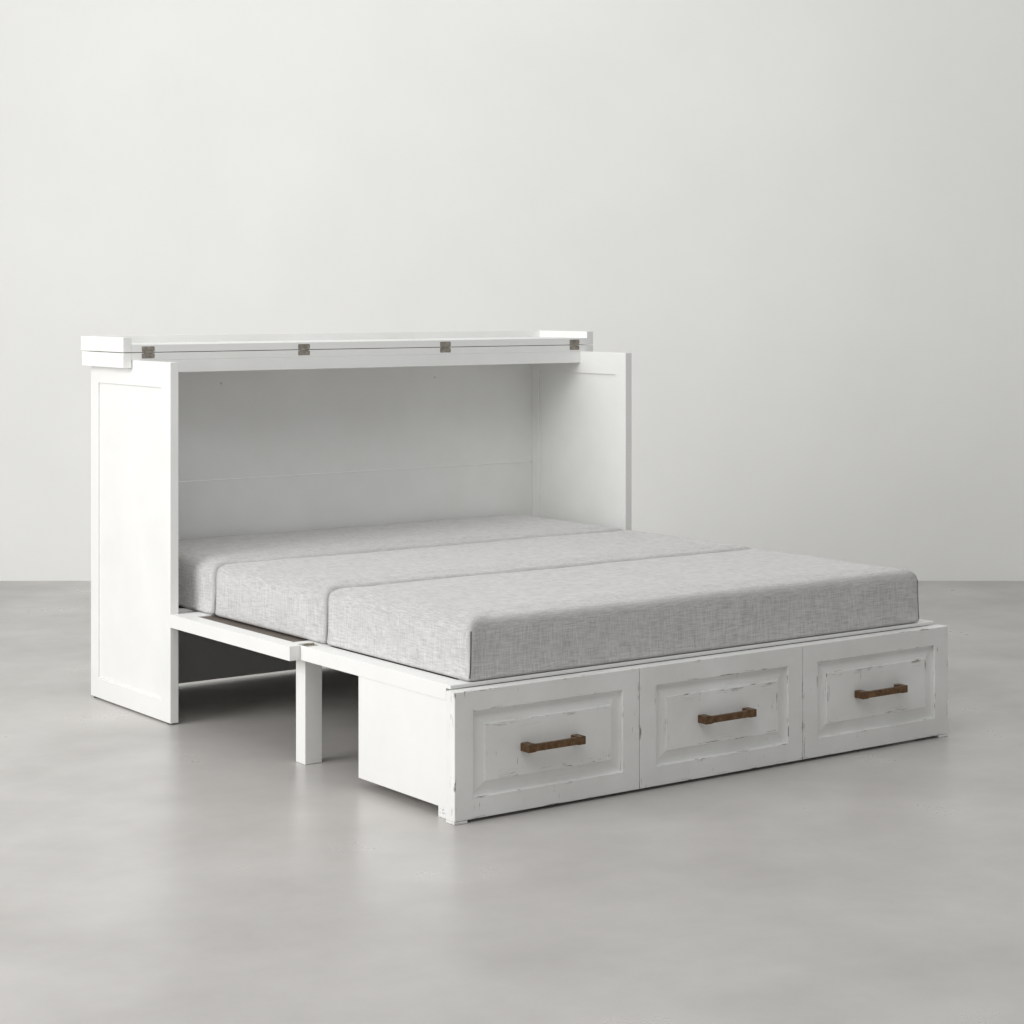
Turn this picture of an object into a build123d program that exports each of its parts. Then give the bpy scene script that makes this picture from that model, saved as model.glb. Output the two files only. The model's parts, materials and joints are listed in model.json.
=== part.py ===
"""Cabinet wall bed, shown unfolded: cabinet, folding lid, two platforms, drawer chest and mattress.

Millimetres, +Z up, X across the bed, the foot of the bed towards -Y. Y is worked out from the front
edges of the cabinet sides, and every piece is moved at export so that the origin lies on the floor
under the middle of the whole bed.
"""

import os

from build123d import *

# cabinet
CABINET_WIDTH = 1688.0
CABINET_DEPTH = 562.0
SIDE_HEIGHT = 1051.0
SIDE_THICKNESS = 26.0
SIDE_TOP_RAIL = 75.0
SIDE_BOTTOM_RAIL = 61.0
SIDE_REAR_STILE = 54.0
SIDE_FRONT_STILE = 58.0
PANEL_RECESS = 6.0
PANEL_THICKNESS = 12.0
GLIDE_HEIGHT = 4.0
GLIDE_RADIUS = 11.0
BACK_THICKNESS = 14.0
BACK_SEAM_HEIGHT = 650.0
BACK_SEAM_GAP = 2.0
BACK_FLOOR_GAP = 9.0
TOP_RAIL_HEIGHT = 39.0
TOP_RAIL_DEPTH = 30.0
WALL_HOLE_RADIUS = 3.25
WALL_HOLE_SPACING = 812.8
WALL_HOLE_DROP = 90.0

# lid
LID_BOARD = 22.0
LID_RIM_THICKNESS = 27.0
LID_RIM_DEPTH = 45.0
LID_HINGE_Y = 258.0
LID_FRONT_REACH = 313.0
LID_GAP = 2.0
LID_SIDE_CLEARANCE = 2.5
HINGE_COUNT = 4
HINGE_WIDTH = 42.0
HINGE_LEAF_HEIGHT = 17.0
HINGE_LEAF_THICKNESS = 1.8
HINGE_SET_IN = 0.2
HINGE_KNUCKLE_RADIUS = 2.2
HINGE_KNUCKLE_REACH = 0.3
HINGE_CORNER = 5.5
HINGE_END_OFFSET = 25.0
KNUCKLE_CLEARANCE = 0.3
RUNNING_CLEARANCE = 0.05

# platforms
PLATFORM_TOP = 321.0
PLATFORM_THICKNESS = 38.0
INNER_PLATFORM_THICKNESS = 35.0
FRONT_PLATFORM_LENGTH = 714.0
FRONT_SIDE_RAIL = 44.0
FRONT_REAR_RAIL = 82.0
FRONT_END_RAIL = 60.0
FRONT_MUNTIN = 60.0
FOOT_RAIL = 56.0
INNER_RAIL = 50.0
DECK_THICKNESS = 9.0
DECK_RECESS = 3.0
PLATFORM_GAP = 3.0
CABINET_GAP = 1.0
REAR_EDGE_CHAMFER = 2.5
FOOT_PLATFORM_LENGTH = 728.0
FOOT_PLATFORM_CLEARANCE = 5.0
INNER_PLATFORM_SETBACK = 46.0
LIP_THICKNESS = 9.0
LIP_REACH = 20.0
FOLD_HINGE_WIDTH = 36.0
FOLD_HINGE_LEAF = 25.0
FOLD_HINGE_THICKNESS = 1.8
FOLD_KNUCKLE_RADIUS = 3.0
FOLD_PIVOT_RISE = 1.0
ARM_THICKNESS = 2.5
ARM_EYE_RADIUS = 4.0
ARM_PIN_RADIUS = 2.0
ARM_PIN_REACH = 14.0
FACE_PANELS = 3

# legs
LEG_SECTION = 51.0
LEG_INSET = 54.0
LEG_SETBACK = 14.0
LEG_PIVOT_OFFSET = 3.0
LEG_KNUCKLE_RADIUS = 2.5
LEG_LEAF_THICKNESS = 1.5
LEG_LEAF_LENGTH = 34.0
LEG_TOP_CLEARANCE = 0.5

# drawer chest
CHEST_BOX_DEPTH = 435.0
CHEST_SIDE_THICKNESS = 15.0
CHEST_FLOOR_GAP = 25.0
CHEST_BOTTOM_THICKNESS = 12.0
CHEST_REAR_HEIGHT = 226.0
CHEST_DIVIDER_THICKNESS = 16.0
DRAWER_COUNT = 3
FRONT_THICKNESS = 37.0
FRONT_HEIGHT = 311.0
FRONT_WIDTH = 1656.0
FRONT_FLOOR_GAP = 7.0
FRONT_SEAM = 2.0
FRONT_STILE = 53.0
FRONT_RAIL_TOP = 49.0
FRONT_RAIL_BOTTOM = 50.0
MOULDING_WIDTH = 9.0
FIELD_DROP = 12.0
FIELD_BEVEL = 26.0
FIELD_RAISE = 9.0
DRAWER_DEPTH = 375.0
DRAWER_WALL = 12.0
DRAWER_BOX_LOW = 46.0
DRAWER_BOX_HIGH = 216.0
RUNNER_HEIGHT = 35.0
RUNNER_THICKNESS = 12.5
RUNNER_CLEARANCE = 0.5
HANDLE_LENGTH = 172.0
HANDLE_BAR = 17.0
HANDLE_BAR_DEPTH = 11.0
HANDLE_PROJECTION = 34.0
HANDLE_POST = 22.0
ROLLER_RADIUS = 20.0
ROLLER_WIDTH = 22.0
ROLLER_PIN_RADIUS = 4.0
ROLLER_INSET = 90.0
ROLLER_CHEEK = 3.0
ROLLER_SIDE_GAP = 1.0
FOOT_BLOCK = 37.0
FOOT_TAIL = 40.0

# mattress
MATTRESS_WIDTH = 1528.0
MATTRESS_THICKNESS = 152.0
MATTRESS_HEAD_FRONT = -104.0
MATTRESS_MIDDLE_FRONT = -752.0
MATTRESS_FOOT_FRONT = -1448.0
MATTRESS_SEAM_GAP = 1.0
MATTRESS_EDGE = 24.0
MATTRESS_BACK_GAP = 4.0

# worked out
HALF_OUT = CABINET_WIDTH / 2
HALF_IN = HALF_OUT - SIDE_THICKNESS
BACK_FACE = CABINET_DEPTH - BACK_THICKNESS
LID_TOP = SIDE_HEIGHT + LID_BOARD
RIM_IN = HALF_OUT + LID_SIDE_CLEARANCE
RIM_OUT = RIM_IN + LID_RIM_THICKNESS
LID_PIVOT_Z = LID_TOP + LID_GAP / 2
LID_BACK = LID_HINGE_Y + LID_FRONT_REACH
RAIL_BOTTOM = SIDE_HEIGHT - TOP_RAIL_HEIGHT
PLATFORM_BOTTOM = PLATFORM_TOP - PLATFORM_THICKNESS
P1_REAR = -CABINET_GAP
P1_FRONT = P1_REAR - FRONT_PLATFORM_LENGTH
P2_REAR = P1_FRONT - PLATFORM_GAP
P2_FRONT = P2_REAR - FOOT_PLATFORM_LENGTH
P2_HALF = HALF_IN - FOOT_PLATFORM_CLEARANCE
FRONT_BACK_FACE = P2_FRONT - PLATFORM_GAP
FRONT_FACE = FRONT_BACK_FACE - FRONT_THICKNESS
CHEST_REAR = FRONT_BACK_FACE + CHEST_BOX_DEPTH
CHEST_HALF = P2_HALF - 2.0
CHEST_INNER = CHEST_HALF - CHEST_SIDE_THICKNESS
LEG_X = HALF_OUT - LEG_INSET - LEG_SECTION / 2
LEG_Y = P1_FRONT + LEG_SETBACK + LEG_SECTION / 2
LEG_PIVOT_Y = LEG_Y + LEG_SECTION / 2 + LEG_PIVOT_OFFSET
LEG_PIVOT_Z = PLATFORM_BOTTOM - LEG_PIVOT_OFFSET
LEG_TOP = PLATFORM_BOTTOM - LEG_LEAF_THICKNESS - LEG_TOP_CLEARANCE
FOLD_PIVOT_Y = (P1_FRONT + P2_REAR) / 2
FOLD_PIVOT_Z = PLATFORM_TOP + FOLD_PIVOT_RISE
P1_CLOSED_BOTTOM = FRONT_HEIGHT + 1.5
P1_PIVOT_Y = (P1_CLOSED_BOTTOM - CABINET_GAP - PLATFORM_TOP - CABINET_GAP) / 2
P1_PIVOT_Z = P1_PIVOT_Y + PLATFORM_TOP + CABINET_GAP
CHEST_TRAVEL = -FRONT_BACK_FACE - CABINET_GAP
HANDLE_FACE = FRONT_FACE + FIELD_DROP - FIELD_RAISE
WHOLE_FRONT = HANDLE_FACE - HANDLE_PROJECTION
ORIGIN_Y = (WHOLE_FRONT + LID_BACK) / 2
HINGE_SPAN = 2 * (HALF_IN - HINGE_END_OFFSET)
HINGE_X = [-HINGE_SPAN / 2 + i * HINGE_SPAN / (HINGE_COUNT - 1) for i in range(HINGE_COUNT)]
DRAWER_WIDTH = FRONT_WIDTH / DRAWER_COUNT
DRAWER_X = [-FRONT_WIDTH / 2 + (i + 0.5) * DRAWER_WIDTH for i in range(DRAWER_COUNT)]
DRAWER_NAMES = ["left", "middle", "right"]
DIVIDER_X = [-FRONT_WIDTH / 2 + i * DRAWER_WIDTH for i in range(1, DRAWER_COUNT)]
BAY_WALLS = [-CHEST_INNER, *DIVIDER_X, CHEST_INNER]
FOLD_HINGE_X = P2_HALF - FOOT_PLATFORM_CLEARANCE - 1 - FOLD_HINGE_WIDTH / 2


def block(x0, x1, y0, y1, z0, z1):
    """A box between two corners."""
    size = Box(abs(x1 - x0), abs(y1 - y0), abs(z1 - z0))
    return Pos((x0 + x1) / 2, (y0 + y1) / 2, (z0 + z1) / 2) * size


def rod(x0, x1, y, z, radius):
    """A cylinder along X."""
    return Pos((x0 + x1) / 2, y, z) * Rot(0, 90, 0) * Cylinder(radius, abs(x1 - x0))


def hinge_leaf(x, y, z, width, radius, bore, leaf, tab, spans, corner=0):
    """One leaf of a butt hinge: a plate, its tabs and its knuckles round the pin."""
    shape = block(x - width / 2, x + width / 2, *leaf)
    if corner:
        shape = fillet(shape.edges().filter_by(Axis.Y), corner)
    for start, end in spans:
        x0, x1 = x + start * width, x + end * width
        shape += block(x0, x1, *tab)
        shape += rod(x0, x1, y, z, radius)
    return shape - rod(x - width, x + width, y, z, bore)


def knuckle_spans(width, reach=0.45):
    """Shares of a hinge's width taken by its outer knuckles and by its middle one."""
    gap = KNUCKLE_CLEARANCE / width
    inner = reach / 3
    outer = [(-reach, -inner - gap), (inner + gap, reach)]
    return outer, [(-inner, inner)]


def group(shapes):
    """Separate solids that share one node."""
    return Compound(children=[s.solid() if len(s.solids()) == 1 else s for s in shapes])


def save(name, shape):
    """Write one node, moved so that the origin is under the middle of the bed."""
    moved = Pos(0, -ORIGIN_Y, 0) * shape
    export_step(moved, f"parts/{name}.step")


def side_frame(side):
    """Stiles and rails of one cabinet side, open where its infill panel sits."""
    x0, x1 = side * HALF_IN, side * HALF_OUT
    frame = block(x0, x1, 0, CABINET_DEPTH, GLIDE_HEIGHT, SIDE_HEIGHT)
    hole = block(
        x0 - side, x1 + side, SIDE_FRONT_STILE, CABINET_DEPTH - SIDE_REAR_STILE,
        GLIDE_HEIGHT + SIDE_BOTTOM_RAIL, SIDE_HEIGHT - SIDE_TOP_RAIL,
    )
    return frame - hole


def side_infill(side):
    """The flat panel in one cabinet side, set back from both faces."""
    x0 = side * (HALF_IN + PANEL_RECESS)
    return block(
        x0, side * (HALF_OUT - PANEL_RECESS), SIDE_FRONT_STILE, CABINET_DEPTH - SIDE_REAR_STILE,
        GLIDE_HEIGHT + SIDE_BOTTOM_RAIL, SIDE_HEIGHT - SIDE_TOP_RAIL,
    )


def cabinet():
    """The fixed carcass: sides, back, top rail, rear half of the lid, inner platform and glides."""
    for side, name in ((-1, "left"), (1, "right")):
        save(f"side_frame_{name}", side_frame(side))
        save(f"side_infill_{name}", side_infill(side))
    save("back_panel_lower", block(
        -HALF_IN, HALF_IN, BACK_FACE, CABINET_DEPTH, BACK_FLOOR_GAP, BACK_SEAM_HEIGHT))
    seam = BACK_SEAM_HEIGHT + BACK_SEAM_GAP
    upper = block(-HALF_IN, HALF_IN, BACK_FACE, CABINET_DEPTH, seam, SIDE_HEIGHT)
    for x in (-WALL_HOLE_SPACING / 2, WALL_HOLE_SPACING / 2):
        hole = Cylinder(WALL_HOLE_RADIUS, 3 * BACK_THICKNESS)
        upper -= Pos(x, CABINET_DEPTH, SIDE_HEIGHT - WALL_HOLE_DROP) * Rot(90, 0, 0) * hole
    save("back_panel_upper", upper)
    save("top_rail", block(
        -HALF_IN, HALF_IN, LID_HINGE_Y, LID_HINGE_Y + TOP_RAIL_DEPTH, RAIL_BOTTOM, SIDE_HEIGHT))
    glides = []
    for x in (-1, 1):
        for y in (2 * GLIDE_RADIUS, CABINET_DEPTH - 2 * GLIDE_RADIUS):
            centre = x * (HALF_OUT - SIDE_THICKNESS / 2)
            glides.append(Pos(centre, y, GLIDE_HEIGHT / 2) * Cylinder(GLIDE_RADIUS, GLIDE_HEIGHT))
    save("cabinet_glides", group(glides))
    low = PLATFORM_TOP - INNER_PLATFORM_THICKNESS
    extents = (HALF_IN, BACK_FACE, INNER_PLATFORM_SETBACK)
    rails = (INNER_RAIL, INNER_RAIL, INNER_RAIL)
    save("inner_platform_frame", platform_frame(extents, rails, low))
    save("inner_platform_deck", deck_board(extents, rails))


def platform_frame(extents, rails, low):
    """Two side rails and two cross rails; extents are half width, rear and front."""
    half, rear, front = extents
    side, back_rail, end_rail = rails
    frame = block(-half, half, front, rear, low, PLATFORM_TOP)
    well = block(
        -half + side, half - side, front + end_rail, rear - back_rail, low - 1, PLATFORM_TOP + 1)
    return frame - well


def deck_board(extents, rails):
    """The plywood deck let into a platform's frame, just under its top."""
    half, rear, front = extents
    side, back_rail, end_rail = rails
    top = PLATFORM_TOP - DECK_RECESS
    return block(
        -half + side, half - side, front + end_rail, rear - back_rail, top - DECK_THICKNESS, top)


def lid_rim(low):
    """The U-shaped rim of the lid's front half: two sides and the edge that ends up in front."""
    high = low + LID_RIM_DEPTH
    outer = block(-RIM_OUT, RIM_OUT, LID_HINGE_Y, LID_BACK, low, high)
    inner = block(
        -RIM_IN, RIM_IN, LID_HINGE_Y - 1, LID_BACK - LID_RIM_THICKNESS, low - 1, high + 1)
    return outer - inner


def lid_hinges():
    """Hinges let into the meeting edges of the lid's two halves; returns leaves and pins."""
    fixed, moving, pins = [], [], []
    y0 = LID_HINGE_Y + HINGE_SET_IN
    y1 = y0 + HINGE_LEAF_THICKNESS
    clear = HINGE_KNUCKLE_RADIUS + KNUCKLE_CLEARANCE
    pin = HINGE_KNUCKLE_RADIUS / 2
    outer, middle = knuckle_spans(HINGE_WIDTH, HINGE_KNUCKLE_REACH)
    reach = HINGE_KNUCKLE_REACH * HINGE_WIDTH
    corner = HINGE_CORNER
    for x in HINGE_X:
        low = (y0, y1, LID_TOP - HINGE_LEAF_HEIGHT, LID_PIVOT_Z - clear)
        low_tab = (y0, y1, LID_PIVOT_Z - clear, LID_TOP)
        high = (y0, y1, LID_PIVOT_Z + clear, LID_TOP + LID_GAP + HINGE_LEAF_HEIGHT)
        high_tab = (y0, y1, LID_TOP + LID_GAP, LID_PIVOT_Z + clear)
        place = (x, LID_HINGE_Y, LID_PIVOT_Z, HINGE_WIDTH, HINGE_KNUCKLE_RADIUS)
        fixed.append(hinge_leaf(*place, pin, low, low_tab, outer, corner))
        bore = pin + RUNNING_CLEARANCE
        moving.append(hinge_leaf(*place, bore, high, high_tab, middle, corner))
        pins.append(rod(x - reach, x + reach, LID_HINGE_Y, LID_PIVOT_Z, pin))
    return fixed, moving, pins


def hinge_mortises(edge, away):
    """Blocks cut from a lid board's edge: a shallow one per leaf and a deeper one per knuckle."""
    cuts = []
    half = HINGE_WIDTH / 2
    room = HINGE_KNUCKLE_RADIUS + KNUCKLE_CLEARANCE
    for x in HINGE_X:
        cuts.append(block(
            x - half, x + half, LID_HINGE_Y - 1, LID_HINGE_Y + HINGE_SET_IN + HINGE_LEAF_THICKNESS,
            edge - away, edge + away * HINGE_LEAF_HEIGHT))
        cuts.append(block(
            x - half, x + half, LID_HINGE_Y - 1, LID_HINGE_Y + room,
            edge - away, LID_PIVOT_Z + away * room))
    return cuts


def lid():
    """The lid: a fixed rear half and a front half folded back on top of it, with flush hinges."""
    rear = block(-RIM_IN, RIM_IN, LID_HINGE_Y, CABINET_DEPTH, SIDE_HEIGHT, LID_TOP)
    for cut in hinge_mortises(LID_TOP, -1):
        rear -= cut
    save("lid_rear_board", rear)
    rear_sides = [
        block(s * RIM_IN, s * RIM_OUT, LID_HINGE_Y, CABINET_DEPTH, LID_TOP - LID_RIM_DEPTH, LID_TOP)
        for s in (-1, 1)
    ]
    save("lid_rear_rims", group(rear_sides))
    low = LID_TOP + LID_GAP
    board = block(
        -RIM_IN, RIM_IN, LID_HINGE_Y, LID_BACK - LID_RIM_THICKNESS, low, low + LID_BOARD)
    for cut in hinge_mortises(low, 1):
        board -= cut
    save("lid_front_board", board)
    save("lid_front_rim", lid_rim(low))
    fixed, moving, pins = lid_hinges()
    save("lid_hinge_leaves_fixed", group(fixed))
    save("lid_hinge_leaves_moving", group(moving))
    save("lid_hinge_pins", group(pins))


def rear_edge_eased(frame):
    """The top rear edge taken off, so that it clears the cabinet's sides as it turns."""
    edges = frame.edges().filter_by(Axis.X)
    edges = edges.filter_by_position(Axis.Y, P1_REAR - 0.1, P1_REAR + 0.1)
    edges = edges.filter_by_position(Axis.Z, PLATFORM_TOP - 0.1, PLATFORM_TOP + 0.1)
    return chamfer(edges, REAR_EDGE_CHAMFER)


def front_platform():
    """The platform next to the cabinet; its underside is the cabinet's front when closed."""
    extents = (HALF_OUT, P1_REAR, P1_FRONT)
    rails = (FRONT_SIDE_RAIL, FRONT_REAR_RAIL, FRONT_END_RAIL)
    frame = rear_edge_eased(platform_frame(extents, rails, PLATFORM_BOTTOM))
    inner = 2 * (HALF_OUT - FRONT_SIDE_RAIL)
    pitch = (inner + FRONT_MUNTIN) / FACE_PANELS
    rear, front = P1_REAR - FRONT_REAR_RAIL, P1_FRONT + FRONT_END_RAIL
    deck_bottom = PLATFORM_TOP - DECK_RECESS - DECK_THICKNESS
    low = PLATFORM_BOTTOM + PANEL_RECESS
    panels = []
    for i in range(FACE_PANELS):
        x0 = -inner / 2 + i * pitch
        x1 = x0 + pitch - FRONT_MUNTIN
        panels.append(block(x0, x1, front, rear, low, low + PANEL_THICKNESS))
        if i < FACE_PANELS - 1:
            frame += block(x1, x1 + FRONT_MUNTIN, front, rear, PLATFORM_BOTTOM, deck_bottom)
    for s in (-1, 1):
        frame -= arm_room(s)
        frame -= hinge_pin(s)
        frame -= fold_recess(s, P1_FRONT, 1)
    save("front_platform_frame", frame)
    save("front_platform_deck", deck_board(extents, rails))
    save("front_face_panels", group(panels))
    save("platform_hinge_arms", group([hinge_arm(s) for s in (-1, 1)]))
    save("platform_hinge_pins", group([hinge_pin(s) for s in (-1, 1)]))


def hinge_pin(side):
    """The pin that a cabinet arm's eye turns on, held in the front platform's frame."""
    x = side * (HALF_IN - ARM_THICKNESS / 2)
    return rod(x - ARM_PIN_REACH, x + ARM_PIN_REACH, P1_PIVOT_Y, P1_PIVOT_Z, ARM_PIN_RADIUS)


def arm_room(side):
    """The corner notch in the front platform that a cabinet arm and its eye turn in."""
    room = ARM_EYE_RADIUS + 0.5
    return block(
        side * (HALF_IN - ARM_THICKNESS - 1), side * (HALF_IN + 1), P1_PIVOT_Y - room, 1,
        P1_PIVOT_Z - room, PLATFORM_TOP + 1)


def hinge_arm(side):
    """A steel arm screwed inside a cabinet side, with the eye the front platform hangs on."""
    x0, x1 = side * HALF_IN, side * (HALF_IN - ARM_THICKNESS)
    half = ARM_EYE_RADIUS - 1.2
    arm = block(x0, x1, P1_PIVOT_Y, INNER_PLATFORM_SETBACK - 6, P1_PIVOT_Z - half, P1_PIVOT_Z + half)
    arm += block(x0, x1, 4, INNER_PLATFORM_SETBACK - 6, P1_PIVOT_Z - 22, P1_PIVOT_Z + half)
    arm += rod(x0, x1, P1_PIVOT_Y, P1_PIVOT_Z, ARM_EYE_RADIUS)
    return arm - rod(x0, x1, P1_PIVOT_Y, P1_PIVOT_Z, ARM_PIN_RADIUS + RUNNING_CLEARANCE)


def fold_recess(side, edge, away):
    """The shallow recess a fold hinge's leaf lies in, from a platform's meeting edge."""
    x = side * FOLD_HINGE_X
    half = FOLD_HINGE_WIDTH / 2
    floor = PLATFORM_TOP - FOLD_HINGE_THICKNESS - HINGE_SET_IN
    return block(
        x - half, x + half, edge - away, edge + away * FOLD_HINGE_LEAF, floor, PLATFORM_TOP + 1)


def fold_hinges():
    """The pair of hinges the foot platform folds on, outside the mattress."""
    front, foot, pins = [], [], []
    z1 = PLATFORM_TOP - HINGE_SET_IN
    z0 = z1 - FOLD_HINGE_THICKNESS
    clear = FOLD_KNUCKLE_RADIUS + KNUCKLE_CLEARANCE
    pin = FOLD_KNUCKLE_RADIUS / 2
    outer, middle = knuckle_spans(FOLD_HINGE_WIDTH)
    for side in (-1, 1):
        x = side * FOLD_HINGE_X
        place = (x, FOLD_PIVOT_Y, FOLD_PIVOT_Z, FOLD_HINGE_WIDTH, FOLD_KNUCKLE_RADIUS)
        leaf = (FOLD_PIVOT_Y + clear, P1_FRONT + FOLD_HINGE_LEAF, z0, z1)
        tab = (P1_FRONT, FOLD_PIVOT_Y + clear, z0, z1)
        front.append(hinge_leaf(*place, pin, leaf, tab, outer))
        leaf = (P2_REAR - FOLD_HINGE_LEAF, FOLD_PIVOT_Y - clear, z0, z1)
        tab = (FOLD_PIVOT_Y - clear, P2_REAR, z0, z1)
        foot.append(hinge_leaf(*place, pin + RUNNING_CLEARANCE, leaf, tab, middle))
        reach = 0.45 * FOLD_HINGE_WIDTH
        pins.append(rod(x - reach, x + reach, FOLD_PIVOT_Y, FOLD_PIVOT_Z, pin))
    save("fold_hinge_leaves_front", group(front))
    save("fold_hinge_leaves_foot", group(foot))
    save("fold_hinge_pins", group(pins))


def foot_platform():
    """The platform over the drawer chest, hinged to the front platform and folding on top of it."""
    extents = (P2_HALF, P2_REAR, P2_FRONT)
    rails = (FOOT_RAIL, FOOT_RAIL, FOOT_RAIL)
    frame = platform_frame(extents, rails, PLATFORM_BOTTOM)
    frame -= block(
        -P2_HALF - 1, P2_HALF + 1, P2_FRONT - 1, P2_FRONT + LIP_REACH,
        PLATFORM_BOTTOM - 1, PLATFORM_TOP - LIP_THICKNESS)
    for s in (-1, 1):
        frame -= fold_recess(s, P2_REAR, -1)
    save("foot_platform_frame", frame)
    save("foot_platform_deck", deck_board(extents, rails))
    fold_hinges()


def legs():
    """Two square legs on butt hinges, hanging plumb while the front platform rises."""
    fixed, pins = [], []
    half = LEG_SECTION / 2
    clear = LEG_KNUCKLE_RADIUS + KNUCKLE_CLEARANCE
    pin = LEG_KNUCKLE_RADIUS / 2
    width = LEG_SECTION - 8
    outer, middle = knuckle_spans(width)
    face = LEG_Y + half
    for side, name in ((-1, "left"), (1, "right")):
        x = side * LEG_X
        save(f"leg_{name}", block(x - half, x + half, LEG_Y - half, face, 0, LEG_TOP))
        place = (x, LEG_PIVOT_Y, LEG_PIVOT_Z, width, LEG_KNUCKLE_RADIUS)
        plate = PLATFORM_BOTTOM - LEG_LEAF_THICKNESS
        leaf = (LEG_PIVOT_Y - clear - LEG_LEAF_LENGTH, LEG_PIVOT_Y - clear, plate, PLATFORM_BOTTOM)
        tab = (LEG_PIVOT_Y - clear, LEG_PIVOT_Y, plate, LEG_PIVOT_Z + LEG_KNUCKLE_RADIUS)
        fixed.append(hinge_leaf(*place, pin, leaf, tab, outer))
        outside = face + LEG_LEAF_THICKNESS
        leaf = (face, outside, LEG_PIVOT_Z - clear - LEG_LEAF_LENGTH, LEG_PIVOT_Z - clear)
        tab = (face, outside, LEG_PIVOT_Z - clear, LEG_PIVOT_Z)
        save(f"leg_hinge_leaf_{name}", hinge_leaf(*place, pin + RUNNING_CLEARANCE, leaf, tab, middle))
        pins.append(rod(x - 0.45 * width, x + 0.45 * width, LEG_PIVOT_Y, LEG_PIVOT_Z, pin))
    save("leg_hinge_leaves_fixed", group(fixed))
    save("leg_hinge_pins", group(pins))


def drawer_front(x):
    """A framed front with a moulded edge and a raised field, made as one glued-up piece."""
    half = DRAWER_WIDTH / 2 - FRONT_SEAM / 2
    front = block(x - half, x + half, FRONT_FACE, FRONT_BACK_FACE, FRONT_FLOOR_GAP, FRONT_HEIGHT)
    low, high = FRONT_FLOOR_GAP + FRONT_RAIL_BOTTOM, FRONT_HEIGHT - FRONT_RAIL_TOP
    side = half - FRONT_STILE + FRONT_SEAM / 2
    plane = Plane(origin=(x, FRONT_FACE, (low + high) / 2), x_dir=(1, 0, 0), z_dir=(0, -1, 0))
    width, height = 2 * side, high - low

    def slab(inset, depth):
        return plane.offset(-depth) * Rectangle(width - 2 * inset, height - 2 * inset)

    mouth = loft([slab(0, -0.01), slab(MOULDING_WIDTH, FIELD_DROP)])
    field_foot = slab(MOULDING_WIDTH + 3, FIELD_DROP)
    field_top = slab(MOULDING_WIDTH + 3 + FIELD_BEVEL, FIELD_DROP - FIELD_RAISE)
    return front - mouth + loft([field_foot, field_top])


def bay(i):
    """The inside faces of the two walls beside one drawer."""
    half = CHEST_DIVIDER_THICKNESS / 2
    x0 = BAY_WALLS[i] + (half if i > 0 else 0)
    x1 = BAY_WALLS[i + 1] - (half if i < DRAWER_COUNT - 1 else 0)
    return x0, x1


def drawer_box(i):
    """An open-topped tray behind one front, as wide as its bay less the runners."""
    x0, x1 = bay(i)
    gap = RUNNER_THICKNESS + RUNNER_CLEARANCE
    x0, x1 = x0 + gap, x1 - gap
    rear = FRONT_BACK_FACE + DRAWER_DEPTH
    tray = block(x0, x1, FRONT_BACK_FACE, rear, DRAWER_BOX_LOW, DRAWER_BOX_HIGH)
    hollow = block(
        x0 + DRAWER_WALL, x1 - DRAWER_WALL, FRONT_BACK_FACE + DRAWER_WALL,
        rear - DRAWER_WALL, DRAWER_BOX_LOW + DRAWER_WALL, DRAWER_BOX_HIGH + 1)
    return tray - hollow


def drawer_handle(x):
    """A square bar pull: two posts that run into a slimmer bar."""
    z = (FRONT_FLOOR_GAP + FRONT_RAIL_BOTTOM + FRONT_HEIGHT - FRONT_RAIL_TOP) / 2
    half, bar = HANDLE_LENGTH / 2, HANDLE_BAR / 2
    tip = HANDLE_FACE - HANDLE_PROJECTION
    pull = block(x - half, x + half, tip, tip + HANDLE_BAR_DEPTH, z - bar, z + bar)
    for s in (-1, 1):
        end = x + s * half
        inner = end - s * HANDLE_POST
        pull += block(inner, end, tip, HANDLE_FACE, z - bar - 1.5, z + bar + 1.5)
    ends = pull.faces().filter_by(Axis.X).sort_by(Axis.X)
    return chamfer([*ends[0].edges(), *ends[-1].edges()], 1.2)


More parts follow.
